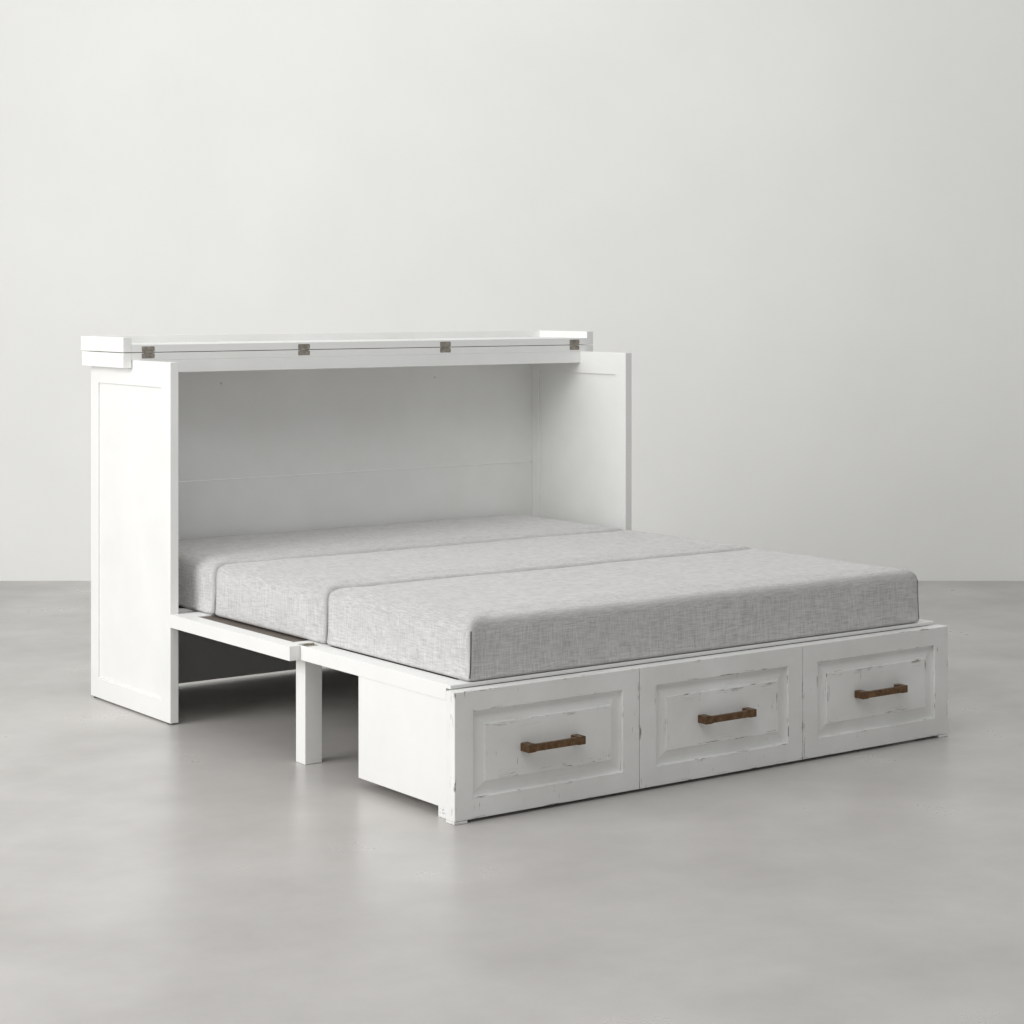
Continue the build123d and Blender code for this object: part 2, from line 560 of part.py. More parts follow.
def chest():
    """The chest at the foot: low back rail, so that it passes under the rising legs."""
    top = PLATFORM_BOTTOM
    front = FRONT_BACK_FACE + LIP_REACH
    floor_top = CHEST_FLOOR_GAP + CHEST_BOTTOM_THICKNESS
    rear_inside = CHEST_REAR - CHEST_SIDE_THICKNESS
    for side, name in ((-1, "left"), (1, "right")):
        save(f"chest_side_{name}", block(
            side * CHEST_INNER, side * CHEST_HALF, front, CHEST_REAR, CHEST_FLOOR_GAP, top))
    bottom = block(-CHEST_INNER, CHEST_INNER, front, CHEST_REAR, CHEST_FLOOR_GAP, floor_top)
    cut = ROLLER_WIDTH / 2 + ROLLER_SIDE_GAP + ROLLER_CHEEK
    for x, y in roller_places():
        bottom -= block(x - cut, x + cut, y - 30, y + 30, 0, floor_top + 1)
    save("chest_bottom", bottom)
    save("chest_rear_rail", block(
        -CHEST_INNER, CHEST_INNER, rear_inside, CHEST_REAR, floor_top, CHEST_REAR_HEIGHT))
    half = CHEST_DIVIDER_THICKNESS / 2
    save("chest_dividers", group([
        block(x - half, x + half, front, rear_inside, floor_top, CHEST_REAR_HEIGHT)
        for x in DIVIDER_X]))
    save("chest_front_rail", block(
        -CHEST_INNER, CHEST_INNER, front, front + 45, top - 38, top))
    feet = []
    for s in (-1, 1):
        x0, x1 = s * FRONT_WIDTH / 2, s * (FRONT_WIDTH / 2 - FOOT_BLOCK)
        foot = block(x0, x1, FRONT_FACE, FRONT_BACK_FACE, 0, FRONT_FLOOR_GAP - 1)
        foot += block(s * CHEST_HALF, x1, FRONT_FACE, front + FOOT_TAIL, 0, FRONT_FLOOR_GAP - 1)
        foot += block(s * CHEST_HALF, x1, front, front + FOOT_TAIL, 0, CHEST_FLOOR_GAP)
        feet.append(foot)
    save("chest_feet", group(feet))
    runners = []
    reach = FRONT_BACK_FACE + DRAWER_DEPTH - 20
    for i in range(DRAWER_COUNT):
        x0, x1 = bay(i)
        low = DRAWER_BOX_LOW + 50
        for wall, s in ((x0, 1), (x1, -1)):
            runners.append(block(
                wall, wall + s * RUNNER_THICKNESS, front + 1, reach, low, low + RUNNER_HEIGHT))
    save("drawer_runners", group(runners))


def rollers():
    """Four rollers under the chest, each on a pin between two cheeks."""
    housings, pins = [], []
    floor_top = CHEST_FLOOR_GAP + CHEST_BOTTOM_THICKNESS
    half = ROLLER_WIDTH / 2
    for i, (x, y) in enumerate(roller_places()):
        for s in (-1, 1):
            inside = x + s * (half + ROLLER_SIDE_GAP)
            cheek = block(
                inside, inside + s * ROLLER_CHEEK, y - 14, y + 14, ROLLER_RADIUS - 7, floor_top)
            cheek -= rod(inside - 9, inside + 9, y, ROLLER_RADIUS, ROLLER_PIN_RADIUS)
            housings.append(cheek)
        reach = half + ROLLER_SIDE_GAP + ROLLER_CHEEK
        pins.append(rod(x - reach, x + reach, y, ROLLER_RADIUS, ROLLER_PIN_RADIUS))
        wheel = rod(x - half, x + half, y, ROLLER_RADIUS, ROLLER_RADIUS)
        wheel = fillet(wheel.edges(), 3)
        bore = ROLLER_PIN_RADIUS + RUNNING_CLEARANCE
        save(f"roller_{i + 1}", wheel - rod(x - half - 1, x + half + 1, y, ROLLER_RADIUS, bore))
    save("roller_brackets", group(housings))
    save("roller_pins", group(pins))


def roller_places():
    """Roller centres under the chest, two each side."""
    x = CHEST_INNER - ROLLER_INSET
    front = FRONT_BACK_FACE + LIP_REACH + ROLLER_INSET
    rear = CHEST_REAR - ROLLER_INSET
    return [(-x, front), (x, front), (-x, rear), (x, rear)]


def drawers():
    """Three drawers with framed fronts and square bar pulls."""
    for i, name in enumerate(DRAWER_NAMES):
        save(f"drawer_front_{name}", drawer_front(DRAWER_X[i]))
        save(f"drawer_box_{name}", drawer_box(i))
        save(f"drawer_handle_{name}", drawer_handle(DRAWER_X[i]))


def mattress_pad(rear, front):
    """A plain closed pad with rounded long edges, standing in for one mattress section."""
    half = MATTRESS_WIDTH / 2
    pad = block(
        -half, half, front + MATTRESS_SEAM_GAP / 2, rear - MATTRESS_SEAM_GAP / 2,
        PLATFORM_TOP, PLATFORM_TOP + MATTRESS_THICKNESS)
    return fillet(pad.edges().filter_by(Axis.Y).group_by(Axis.Z)[-1], MATTRESS_EDGE)


def mattress():
    """A three-section folding mattress."""
    save("mattress_head", mattress_pad(BACK_FACE - MATTRESS_BACK_GAP, MATTRESS_HEAD_FRONT))
    save("mattress_middle", mattress_pad(MATTRESS_HEAD_FRONT, MATTRESS_MIDDLE_FRONT))
    save("mattress_foot", mattress_pad(MATTRESS_MIDDLE_FRONT, MATTRESS_FOOT_FRONT))


os.makedirs("parts", exist_ok=True)
cabinet()
lid()
front_platform()
foot_platform()
legs()
chest()
rollers()
drawers()
mattress()
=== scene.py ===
"""Cabinet wall bed, unfolded: painted wood, worn drawer fronts and a folding upholstered mattress."""

import json
import math

import bmesh
import bpy
from bpy.props import FloatProperty, PointerProperty, StringProperty
from mathutils import Matrix, Vector, noise
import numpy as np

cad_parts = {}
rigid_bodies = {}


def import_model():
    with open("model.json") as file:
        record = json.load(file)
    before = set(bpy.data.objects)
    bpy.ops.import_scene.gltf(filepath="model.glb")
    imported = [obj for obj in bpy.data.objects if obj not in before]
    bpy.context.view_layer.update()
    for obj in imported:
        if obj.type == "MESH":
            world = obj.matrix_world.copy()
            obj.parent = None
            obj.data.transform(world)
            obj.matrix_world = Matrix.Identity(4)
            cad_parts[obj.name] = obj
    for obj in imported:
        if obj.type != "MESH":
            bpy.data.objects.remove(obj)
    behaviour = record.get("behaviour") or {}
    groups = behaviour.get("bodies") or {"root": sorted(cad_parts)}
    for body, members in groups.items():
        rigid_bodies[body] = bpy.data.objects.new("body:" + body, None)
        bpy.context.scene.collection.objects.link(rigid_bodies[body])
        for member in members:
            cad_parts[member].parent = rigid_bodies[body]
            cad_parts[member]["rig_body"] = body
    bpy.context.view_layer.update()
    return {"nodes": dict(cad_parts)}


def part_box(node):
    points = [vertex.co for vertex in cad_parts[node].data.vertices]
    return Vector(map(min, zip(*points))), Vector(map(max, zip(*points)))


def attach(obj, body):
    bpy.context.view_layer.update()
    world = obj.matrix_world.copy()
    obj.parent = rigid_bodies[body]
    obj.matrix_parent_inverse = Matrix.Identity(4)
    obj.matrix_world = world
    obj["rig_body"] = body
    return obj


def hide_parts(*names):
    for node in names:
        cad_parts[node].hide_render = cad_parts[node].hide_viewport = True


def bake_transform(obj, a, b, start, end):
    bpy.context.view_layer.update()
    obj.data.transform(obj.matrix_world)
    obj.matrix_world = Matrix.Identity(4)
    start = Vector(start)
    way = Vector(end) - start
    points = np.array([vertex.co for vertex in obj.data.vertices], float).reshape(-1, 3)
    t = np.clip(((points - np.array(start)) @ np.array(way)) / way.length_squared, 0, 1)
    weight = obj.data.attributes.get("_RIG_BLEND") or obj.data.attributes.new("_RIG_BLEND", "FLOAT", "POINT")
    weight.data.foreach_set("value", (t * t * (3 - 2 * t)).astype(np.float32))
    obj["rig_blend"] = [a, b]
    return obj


bl_info = {
    "name": "Cabinet wall bed",
    "version": (1, 0, 0),
    "blender": (4, 5, 0),
    "location": "View3D > Sidebar > Wall bed",
    "description": "Builds the looks of a cabinet wall bed round its solid model",
    "category": "Add Mesh",
}

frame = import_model()
MM = 0.001

COORDINATES, ATTRIBUTE, MAPPING = "ShaderNodeTexCoord", "ShaderNodeAttribute", "ShaderNodeMapping"
NOISE, RAMP, BUMP = "ShaderNodeTexNoise", "ShaderNodeValToRGB", "ShaderNodeBump"
MIX, MATH = "ShaderNodeMix", "ShaderNodeMath"
# A mix node has a set of sockets for each kind of value; these are the colour ones.
FIRST_COLOUR, SECOND_COLOUR, MIXED_COLOUR = 6, 7, 2
PAINT_IOR = 1.48

PAINTED = (
    "side_frame_left", "side_frame_right", "side_infill_left", "side_infill_right",
    "back_panel_lower", "back_panel_upper", "top_rail", "inner_platform_frame",
    "lid_rear_board", "lid_rear_rims", "lid_front_board", "lid_front_rim",
    "front_platform_frame", "front_face_panels", "leg_left", "leg_right",
    "foot_platform_frame", "chest_side_left", "chest_side_right", "chest_bottom",
    "chest_rear_rail", "chest_dividers", "chest_front_rail",
)
BOARDS = ("inner_platform_deck", "front_platform_deck", "foot_platform_deck")
TRAYS = ("drawer_box_left", "drawer_box_middle", "drawer_box_right")
STEEL = (
    "lid_hinge_leaves_fixed", "lid_hinge_leaves_moving", "lid_hinge_pins", "platform_hinge_arms",
    "platform_hinge_pins", "fold_hinge_leaves_front", "fold_hinge_leaves_foot", "fold_hinge_pins",
    "leg_hinge_leaves_fixed", "leg_hinge_leaf_left", "leg_hinge_leaf_right", "leg_hinge_pins",
    "drawer_runners", "roller_brackets", "roller_pins",
)
ROLLERS = ("roller_1", "roller_2", "roller_3", "roller_4")
SIDES = ("left", "middle", "right")
# Each mattress section and the body it moves with.
PADS = {
    "mattress_head": "cabinet",
    "mattress_middle": "mattress_middle",
    "mattress_foot": "mattress_foot",
}


def linear(hex_colour):
    """An sRGB hex colour as linear RGBA."""
    out = []
    for i in (0, 2, 4):
        c = int(hex_colour[i:i + 2], 16) / 255
        out.append(c / 12.92 if c <= 0.04045 else ((c + 0.055) / 1.055) ** 2.4)
    return (*out, 1.0)


def add(tree, kind, inputs, output=0, stops=(), **settings):
    """Adds a node with its settings, inputs and colour stops, and returns one of its outputs."""
    node = tree.nodes.new(kind)
    for name, value in settings.items():
        setattr(node, name, value)
    for target, source in inputs.items():
        socket = node.inputs[target]
        if isinstance(source, bpy.types.NodeSocket):
            tree.links.new(source, socket)
        else:
            socket.default_value = source
    if stops:
        elements = node.color_ramp.elements
        while len(elements) < len(stops):
            elements.new(0.5)
        for element, (place, colour) in zip(elements, stops):
            element.position = place
            element.color = colour if len(colour) == 4 else (*colour, 1.0)
    return node.outputs[output]


def feed(tree, shader, sources):
    """Links outputs to the shader's inputs by name."""
    for name, source in sources.items():
        tree.links.new(source, shader.inputs[name])


def pattern(vector, size_mm, detail=4.0, rough=0.55):
    """The inputs of a noise whose patches are about one size in millimetres."""
    return {"Vector": vector, "Scale": 1 / (size_mm * MM), "Detail": detail, "Roughness": rough}


def grey(value):
    """One value as a colour, for ramps that drive a plain number."""
    return (value,) * 3


def new_material(name, roughness, metallic=0.0, ior=1.5):
    """An empty material with its shader; returns the material, its node tree and the shader."""
    material = bpy.data.materials.new(name)
    material.use_nodes = True
    shader = material.node_tree.nodes["Principled BSDF"]
    shader.inputs["Roughness"].default_value = roughness
    shader.inputs["Metallic"].default_value = metallic
    if not metallic:
        shader.inputs["IOR"].default_value = ior
    return material, material.node_tree, shader


def satin_paint(name, hex_colour, shade_hex, roughness):
    """Sprayed satin paint on board: nearly even, its light broken by faint clouding and orange peel."""
    material, tree, shader = new_material(name, roughness, ior=PAINT_IOR)
    place = add(tree, COORDINATES, {}, "Object")
    clouds = add(tree, NOISE, pattern(place, 180))
    peel = add(tree, NOISE, pattern(place, 3.0, detail=2.0))
    colours = [(0.3, linear(shade_hex)), (0.7, linear(hex_colour))]
    satin = [(0.2, grey(roughness + 0.05)), (0.8, grey(roughness - 0.03))]
    feed(tree, shader, {
        "Base Color": add(tree, RAMP, {"Fac": clouds}, stops=colours),
        "Roughness": add(tree, RAMP, {"Fac": clouds}, stops=satin),
        "Normal": add(tree, BUMP, {"Height": peel, "Distance": 0.08 * MM, "Strength": 0.5}),
    })
    return material


def rubbed_dashes(tree, place, scale):
    """Thin broken marks that run along the axis with the small scale."""
    along = add(tree, MAPPING, {"Vector": place, "Scale": scale})
    return add(tree, NOISE, pattern(along, 7.0, detail=5.0, rough=0.62))


def worn_paint(name, hex_colour, wood_hex, undercoat_hex):
    """White paint rubbed by hand after spraying: broken brown dashes where wood shows on the arrises."""
    material, tree, shader = new_material(name, 0.42, ior=PAINT_IOR)
    place = add(tree, COORDINATES, {}, "Object")
    edge = add(tree, ATTRIBUTE, {}, "Fac", attribute_name="wear")
    upright = add(tree, ATTRIBUTE, {}, "Fac", attribute_name="upright")
    clouds = add(tree, NOISE, pattern(place, 150))
    paint = add(tree, RAMP, {"Fac": clouds}, stops=[(0.3, linear("e4e4e1")), (0.7, linear(hex_colour))])

    # Where the paint is gone: dashes along each edge's own direction, and a few upright cracks,
    # both only in some patches.
    level = rubbed_dashes(tree, place, (0.12, 1.0, 1.6))
    plumb = rubbed_dashes(tree, place, (1.6, 1.0, 0.12))
    patches = add(tree, NOISE, pattern(place, 55, detail=2.0))
    where = add(tree, RAMP, {"Fac": patches}, stops=[(0.46, grey(0)), (0.56, grey(1))])
    dash = [(0.555, grey(0)), (0.58, grey(1))]
    dashes = add(tree, MIX, {
        0: upright,
        FIRST_COLOUR: add(tree, RAMP, {"Fac": level}, stops=dash),
        SECOND_COLOUR: add(tree, RAMP, {"Fac": plumb}, stops=dash),
    }, MIXED_COLOUR, data_type="RGBA")
    rubbed = add(tree, MATH, {0: dashes, 1: edge}, operation="MULTIPLY")
    rubbed = add(tree, MATH, {0: rubbed, 1: where}, operation="MULTIPLY", use_clamp=True)
    cracks = add(tree, RAMP, {"Fac": plumb}, stops=[(0.685, grey(0)), (0.70, grey(1))])
    flecks = add(tree, MATH, {0: cracks, 1: where}, operation="MULTIPLY")
    bare = add(tree, MATH, {0: rubbed, 1: flecks}, operation="MAXIMUM")

    tones = [(0.35, linear(wood_hex)), (0.65, linear(undercoat_hex))]
    wood = add(tree, RAMP, {"Fac": add(tree, NOISE, pattern(place, 9))}, stops=tones)
    ripple = add(tree, NOISE, pattern(place, 3.0, detail=2.0))
    height = add(tree, MATH, {0: ripple, 1: bare}, operation="SUBTRACT")
    sheen = [(0.0, grey(0.42)), (1.0, grey(0.75))]
    feed(tree, shader, {
        "Base Color": add(
            tree, MIX, {0: bare, FIRST_COLOUR: paint, SECOND_COLOUR: wood}, MIXED_COLOUR,
            data_type="RGBA"),
        "Roughness": add(tree, RAMP, {"Fac": bare}, stops=sheen),
        "Normal": add(tree, BUMP, {"Height": height, "Distance": 0.25 * MM, "Strength": 0.5}),
    })
    return material


def brown_board(name, light_hex, dark_hex, spread):
    """Plain veneered board, matt: long streaks of grain across the bed, with fine dark pores."""
    material, tree, shader = new_material(name, 0.6)
    place = add(tree, COORDINATES, {}, "Object")
    grain = add(tree, MAPPING, {"Vector": place, "Scale": (0.05, 1.0, 1.0)})
    grain = add(tree, NOISE, pattern(grain, spread, detail=6.0, rough=0.6))
    pores = add(tree, MAPPING, {"Vector": place, "Scale": (0.04, 1.0, 1.0)})
    pores = add(tree, NOISE, pattern(pores, 2.0, detail=3.0))
    colours = [(0.3, linear(dark_hex)), (0.7, linear(light_hex))]
    colour = add(tree, MIX, {
        0: 1.0,
        FIRST_COLOUR: add(tree, RAMP, {"Fac": grain}, stops=colours),
        SECOND_COLOUR: add(tree, RAMP, {"Fac": pores}, stops=[(0.30, grey(0.6)), (0.45, grey(1))]),
    }, MIXED_COLOUR, data_type="RGBA", blend_type="MULTIPLY")
    feed(tree, shader, {
        "Base Color": colour,
        "Normal": add(tree, BUMP, {"Height": pores, "Distance": 0.1 * MM, "Strength": 0.5}),
    })
    return material


def dull_metal(name, light_hex, dark_hex, roughness, metallic):
    """Plated or lacquered metal: a dull shine, uneven from faint mottling, with fine brushing."""
    material, tree, shader = new_material(name, roughness, metallic=metallic)
    place = add(tree, COORDINATES, {}, "Object")
    mottle = add(tree, NOISE, pattern(place, 14, detail=3.0))
    brushing = add(tree, MAPPING, {"Vector": place, "Scale": (0.08, 1.0, 1.0)})
    brushing = add(tree, NOISE, pattern(brushing, 1.2, detail=2.0))
    colours = [(0.3, linear(dark_hex)), (0.7, linear(light_hex))]
    sheen = [(0.3, grey(roughness + 0.08)), (0.7, grey(roughness - 0.05))]
    feed(tree, shader, {
        "Base Color": add(tree, RAMP, {"Fac": mottle}, stops=colours),
        "Roughness": add(tree, RAMP, {"Fac": mottle}, stops=sheen),
        "Normal": add(tree, BUMP, {"Height": brushing, "Distance": 0.03 * MM, "Strength": 0.6}),
    })
    return material


def moulded(name, light_hex, dark_hex, roughness):
    """Moulded plastic or rubber: nearly one tone, dulled by a fine matt grain."""
    material, tree, shader = new_material(name, roughness)
    place = add(tree, COORDINATES, {}, "Object")
    grain = add(tree, NOISE, pattern(place, 1.5, detail=2.0))
    colours = [(0.3, linear(dark_hex)), (0.7, linear(light_hex))]
    feed(tree, shader, {
        "Base Color": add(tree, RAMP, {"Fac": grain}, stops=colours),
        "Normal": add(tree, BUMP, {"Height": grain, "Distance": 0.05 * MM, "Strength": 0.5}),
    })
    return material


def heathered_cloth(name, thread_mm):
    """Heathered linen weave: crossing threads of uneven grey, drawn coarser than life to show."""
    material, tree, shader = new_material(name, 0.92, ior=1.4)
    shader.inputs["Sheen Weight"].default_value = 0.12
    shader.inputs["Sheen Roughness"].default_value = 0.5
    place = add(tree, COORDINATES, {}, "Object")
    normal = add(tree, COORDINATES, {}, "Normal")

    # One set of threads along each axis. A face shows the two sets that lie in it.
    threads = 0.0
    for axis, along in enumerate(((0.07, 1.0, 1.0), (1.0, 0.07, 1.0), (1.0, 1.0, 0.07))):
        run = add(tree, MAPPING, {"Vector": place, "Scale": along})
        run = add(tree, NOISE, pattern(run, thread_mm, detail=2.0))
        facing = add(tree, "ShaderNodeSeparateXYZ", {"Vector": normal}, axis)
        hidden = add(tree, MATH, {0: facing}, operation="ABSOLUTE")
        shown = add(tree, MATH, {0: 1.0, 1: hidden}, operation="SUBTRACT")
        shown = add(tree, MATH, {0: run, 1: shown}, operation="MULTIPLY")
        threads = add(tree, MATH, {0: threads, 1: shown}, operation="ADD")
    threads = add(tree, MATH, {0: threads, 1: 0.5}, operation="MULTIPLY")

    cloud = add(tree, NOISE, pattern(place, 60, detail=3.0))
    yarns = [(0.36, linear("b3b2b0")), (0.50, linear("cccbca")), (0.64, linear("dad9d8"))]
    tones = [(0.3, linear("f7f7f7")), (0.7, linear("ffffff"))]
    colour = add(tree, MIX, {
        0: 1.0,
        FIRST_COLOUR: add(tree, RAMP, {"Fac": threads}, stops=yarns),
        SECOND_COLOUR: add(tree, RAMP, {"Fac": cloud}, stops=tones),
    }, MIXED_COLOUR, data_type="RGBA", blend_type="MULTIPLY")
    feed(tree, shader, {
        "Base Color": colour,
        "Normal": add(tree, BUMP, {"Height": threads, "Distance": 0.35 * MM, "Strength": 0.4}),
    })
    return material


def dress(nodes, material):
    """Gives CAD nodes their material."""
    for name in nodes:
        mesh = frame["nodes"][name].data
        mesh.materials.clear()
        mesh.materials.append(material)


JOIN_DISTANCE = 0.01 * MM
FLAT_ANGLE = math.radians(1)


def merged_copy(node):
    """A bmesh of a CAD node with its loose triangles joined and flat faces made whole."""
    bm = bmesh.new()
    bm.from_mesh(frame["nodes"][node].data)
    bmesh.ops.remove_doubles(bm, verts=bm.verts, dist=JOIN_DISTANCE)
    bmesh.ops.dissolve_limit(
        bm, angle_limit=FLAT_ANGLE, verts=bm.verts, edges=bm.edges, delimit={"NORMAL"})
    return bm


def put(name, bm, material, body, replaced=()):
    """Makes a piece from a bmesh, riding on a body."""
    mesh = bpy.data.meshes.new(name)
    bm.to_mesh(mesh)
    bm.free()
    mesh.materials.append(material)
    piece = bpy.data.objects.new(name, mesh)
    bpy.context.scene.collection.objects.link(piece)
    if replaced:
        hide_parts(*replaced)
    if body:
        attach(piece, body)
    return piece


def sharp_edges(bm, least_degrees=25):
    """Edges between faces that meet at a clear angle."""
    least = math.radians(least_degrees)
    return [e for e in bm.edges if len(e.link_faces) == 2 and e.calc_face_angle(0) > least]


def eased(bm, radius_mm, segments=2):
    """Every clear edge rounded by a small radius."""
    bmesh.ops.bevel(
        bm, geom=sharp_edges(bm), offset=radius_mm * MM, offset_type="OFFSET", segments=segments,
        profile=0.5, affect="EDGES", clamp_overlap=True, material=-1)
    return bm


def smooth(piece):
    """Smooth shading on every face."""
    for polygon in piece.data.polygons:
        polygon.use_smooth = True


def flat_with_soft_edges(piece):
    """Smooth shading across the eased edges, with the flats kept flat."""
    smooth(piece)
    modifier = piece.modifiers.new("Flats", "WEIGHTED_NORMAL")
    modifier.keep_sharp = True


def body_of(node):
    """The CAD body that a node belongs to."""
    return frame["nodes"][node]["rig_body"]


def woodwork(nodes, material, radius_mm):
    """Painted wooden pieces with eased edges, in the places of their CAD nodes."""
    for node in nodes:
        bm = eased(merged_copy(node), radius_mm)
        piece = put(f"{node}_painted", bm, material, body_of(node), (node,))
        flat_with_soft_edges(piece)


class BedColours(bpy.types.PropertyGroup):
    """The finishes a user would change."""

    paint: StringProperty(name="Paint", description="White paint, as sRGB hex", default="f1f1ef")
    paint_shade: StringProperty(
        name="Paint clouding", description="Its faint clouding, as sRGB hex", default="ebebe8")
    board: StringProperty(name="Board", description="Brown deck board, as sRGB hex", default="6f665c")
    bronze: StringProperty(name="Handles", description="Lacquered bronze, as sRGB hex", default="86694e")


class BedSizes(bpy.types.PropertyGroup):
    """The sizes a user would change, beyond those the CAD model fixes."""

    edge_radius: FloatProperty(
        name="Edge radius", description="Easing on painted edges, in millimetres",
        default=1.2, min=0.2, max=3.0)
    thread: FloatProperty(
        name="Thread", description="Spacing of the cover's threads, in millimetres",
        default=2.4, min=0.4, max=6.0)


class WALLBED_OT_stage(bpy.types.Operator):
    """Lays the floor and wall and sets the lights and the camera"""

    bl_idname = "wallbed.stage"
    bl_label = "Stage"

    def execute(self, context):
        floor_and_wall()
        lights()
        camera()
        return {"FINISHED"}


def concrete():
    """Polished pale concrete: clouded in tone and in gloss, and almost flat."""
    material, tree, shader = new_material("Polished concrete floor", 0.30)
    place = add(tree, COORDINATES, {}, "Object")
    cloud = add(tree, NOISE, pattern(place, 420, detail=6.0, rough=0.6))
    swirl = add(tree, NOISE, pattern(place, 60, detail=5.0))
    colours = [(0.3, linear("b1aeaa")), (0.7, linear("c2bfbb"))]
    feed(tree, shader, {
        "Base Color": add(tree, RAMP, {"Fac": cloud}, stops=colours),
        "Roughness": add(tree, RAMP, {"Fac": cloud}, stops=[(0.3, grey(0.38)), (0.7, grey(0.26))]),
        "Normal": add(tree, BUMP, {"Height": swirl, "Distance": 0.3 * MM, "Strength": 0.3}),
    })
    return material


def plaster():
    """Plain painted plaster with broad, faint clouding."""
    material, tree, shader = new_material("Plain plaster wall", 0.9)
    place = add(tree, COORDINATES, {}, "Object")
    cloud = add(tree, NOISE, pattern(place, 700))
    colours = [(0.3, linear("eeeeeb")), (0.7, linear("f3f3f0"))]
    feed(tree, shader, {"Base Color": add(tree, RAMP, {"Fac": cloud}, stops=colours)})
    return material


# How far the room reaches, where the wall stands behind the bed, and how much lower than the
# bed's feet the floor lies, in metres.
ROOM_REACH = 14
WALL_DISTANCE = 2.975
FLOOR_GAP = 0.0005


def floor_and_wall():
    """The floor, and a wall across it that faces the camera."""
    bm = bmesh.new()
    bmesh.ops.create_grid(bm, x_segments=1, y_segments=1, size=ROOM_REACH)
    bmesh.ops.translate(bm, verts=bm.verts, vec=(0, 0, -FLOOR_GAP))
    put("floor", bm, concrete(), None)
    bm = bmesh.new()
    bmesh.ops.create_grid(bm, x_segments=1, y_segments=1, size=ROOM_REACH)
    bmesh.ops.rotate(bm, verts=bm.verts, matrix=Matrix.Rotation(math.radians(90), 3, "X"))
    bmesh.ops.translate(bm, verts=bm.verts, vec=(0, WALL_DISTANCE, 0))
    bmesh.ops.rotate(bm, verts=bm.verts, matrix=Matrix.Rotation(-CAMERA_YAW, 3, "Z"))
    put("wall", bm, plaster(), None)


CAMERA_PLACE = Vector((-3.552, -5.229, 1.247))
CAMERA_YAW = math.radians(37.8)
CAMERA_LENS = 74.8
CAMERA_SHIFT = (-0.123, -0.212)


def camera():
    """A level camera to the left of the bed's foot; the shift keeps uprights upright."""
    data = bpy.data.cameras.new("Camera")
    data.lens = CAMERA_LENS
    data.sensor_width = 36.0
    data.shift_x, data.shift_y = CAMERA_SHIFT
    data.clip_end = 100
    eye = bpy.data.objects.new("Camera", data)
    eye.location = CAMERA_PLACE
    eye.rotation_euler = (math.radians(90), 0, -CAMERA_YAW)
    bpy.context.scene.collection.objects.link(eye)
    bpy.context.scene.camera = eye


def soft_box(name, place, target, size, power):
    """A large area light that faces a point."""
    data = bpy.data.lights.new(name, "AREA")
    data.shape = "RECTANGLE"
    data.size, data.size_y = size
    data.energy = power
    light = bpy.data.objects.new(name, data)
    light.location = place
    light.rotation_mode = "QUATERNION"
    light.rotation_quaternion = (Vector(target) - Vector(place)).to_track_quat("-Z", "Y")
    bpy.context.scene.collection.objects.link(light)


def lights():
    """Soft daylight from one side: broad from the left, dim from the front, and even on the wall."""
    world = bpy.data.worlds.new("Room")
    world.use_nodes = True
    background = world.node_tree.nodes["Background"]
    background.inputs["Color"].default_value = linear("f6f7f8")
    background.inputs["Strength"].default_value = 0.38
    bpy.context.scene.world = world
    soft_box("Window", (-5.5, 0.2, 2.4), (0, 0, 0.5), (4.0, 3.2), 212)
    soft_box("Ceiling", (-0.5, 0.0, 4.6), (0, 0, 0), (4.0, 4.0), 59)
    soft_box("Wall wash", (-3.0, -3.0, 4.5), (3.5, 6.0, 1.6), (4.0, 2.0), 70)
    bpy.context.scene.view_settings.view_transform = "Standard"


class WALLBED_OT_woodwork(bpy.types.Operator):
    """Paints the cabinet, lid, platforms, legs and chest"""

    bl_idname = "wallbed.woodwork"
    bl_label = "Painted woodwork"

    def execute(self, context):
        colours, sizes = context.scene.bed_colours, context.scene.bed_sizes
        paint = satin_paint("Satin white paint", colours.paint, colours.paint_shade, 0.42)
        woodwork(PAINTED, paint, sizes.edge_radius)
        return {"FINISHED"}


class WALLBED_OT_boards(bpy.types.Operator):
    """Gives the platform decks and the drawer trays their board"""

    bl_idname = "wallbed.boards"
    bl_label = "Decks and trays"

    def execute(self, context):
        dress(BOARDS, brown_board("Brown deck board", context.scene.bed_colours.board, "5a5149", 26))
        dress(TRAYS, brown_board("Pale drawer ply", "c3a987", "ad9270", 18))
        return {"FINISHED"}


class WALLBED_OT_fronts(bpy.types.Operator):
    """Makes the drawer fronts in worn paint, with their moulding and raised field"""

    bl_idname = "wallbed.fronts"
    bl_label = "Drawer fronts"

    def execute(self, context):
        paint = context.scene.bed_colours.paint
        worn = worn_paint("Rubbed white paint over wood", paint, "6b5f55", "8f877d")
        for side in SIDES:
            worn_front(f"drawer_front_{side}", worn)
        worn_feet(worn)
        return {"FINISHED"}


# How a front is shaped from its edge to the middle of its field: the inset and the depth below
# the face, in millimetres, and how far the paint is rubbed there. The second list starts at the
# opening in the frame and goes down the moulding, along the hollow and up the bevelled field.
FRONT_EDGE = ((0.0, 1.6, 0.5), (0.4, 0.5, 1.0), (1.6, 0.0, 1.0), (4.5, 0.0, 0.25), (8.0, 0.0, 0.0))
FRONT_PANEL = (
    (-7.0, 0.0, 0.0), (-3.0, 0.0, 0.3), (-0.5, 0.0, 1.0), (0.4, 0.9, 1.0), (1.0, 3.0, 0.5),
    (1.6, 9.0, 0.1), (3.2, 11.4, 0.0), (5.5, 12.4, 0.0), (11.0, 12.4, 0.0), (13.0, 12.0, 0.0),
    (32.0, 5.6, 0.1), (33.6, 4.9, 0.6), (34.2, 2.6, 1.0), (35.4, 2.0, 1.0), (40.0, 2.0, 0.5),
    (47.0, 2.0, 0.1), (60.0, 2.0, 0.0),
)
FRONT_STILE, FRONT_TOP_RAIL, FRONT_BOTTOM_RAIL = 52.0, 49.0, 50.0
# Faces that meet at more than this angle keep a crisp line between them.
FACET_ANGLE = math.radians(14)
FOOT_EASING, FOOT_WEAR = 0.8, 0.6


